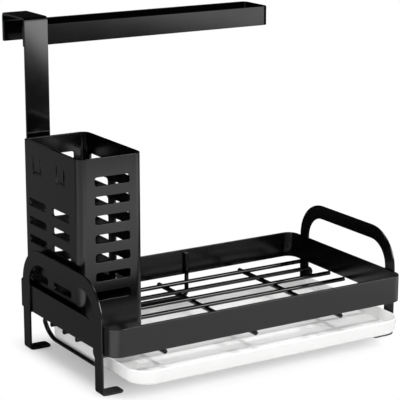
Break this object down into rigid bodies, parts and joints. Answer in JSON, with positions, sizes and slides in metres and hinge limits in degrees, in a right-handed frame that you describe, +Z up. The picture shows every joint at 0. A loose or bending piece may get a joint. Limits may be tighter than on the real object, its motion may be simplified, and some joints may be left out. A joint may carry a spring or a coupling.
{
  "type": "kitchen sink caddy",
  "caption": "Wire-floor sink caddy in black coated steel with end handles, a slotted utensil basket, a towel bar on a hooked post and a slide-out drip tray.",
  "frame": {"origin": "on the table under the middle of the box round the whole caddy, in the pose of the picture", "axes": "+X along the tray from the basket end to the open end, +Y from the drip tray's front to the towel bar, +Z up"},
  "size_m": [0.3034, 0.2388, 0.2948],
  "materials": {
    "coated_strip": "satin black coating",
    "coated_wire": "satin black coating",
    "coated_towel_rack": "satin black coating",
    "coated_basket": "satin black coating",
    "tray_plastic": "glossy, translucent white",
    "pad_rubber": "matte",
    "fastener_steel": "plated"
  },
  "bodies": {
    "rack": {"tray_band": "coated_strip", "left_end_frame": "coated_strip", "right_end_frame": "coated_strip", "foot_pad_front_left": "pad_rubber", "foot_pad_back_left": "pad_rubber", "foot_pad_front_right": "pad_rubber", "foot_pad_back_right": "pad_rubber", "floor_wire_front": "coated_wire", "floor_wire_front_mid": "coated_wire", "floor_wire_middle": "coated_wire", "floor_wire_back_mid": "coated_wire", "floor_wire_back": "coated_wire", "cross_wire_left": "coated_wire", "cross_wire_middle": "coated_wire", "cross_wire_right": "coated_wire", "tray_cradle": "coated_wire", "rear_stop": "coated_wire", "towel_post": "coated_towel_rack", "towel_bar": "coated_towel_rack", "post_screws": "fastener_steel", "post_nuts": "fastener_steel"},
    "tray": {"drip_tray": "tray_plastic"},
    "basket": {"basket_shell": "coated_basket", "basket_base": "coated_basket"}
  },
  "joints": [
    {"name": "drip_tray_slide", "type": "slide", "parent": "rack", "child": "tray", "axis": [0, -1, 0], "range_m": [-0.0371, 0.11]},
    {"name": "basket_lift", "type": "slide", "parent": "rack", "child": "basket", "axis": [0, 0, 1], "range_m": [0, 0.065]}
  ]
}
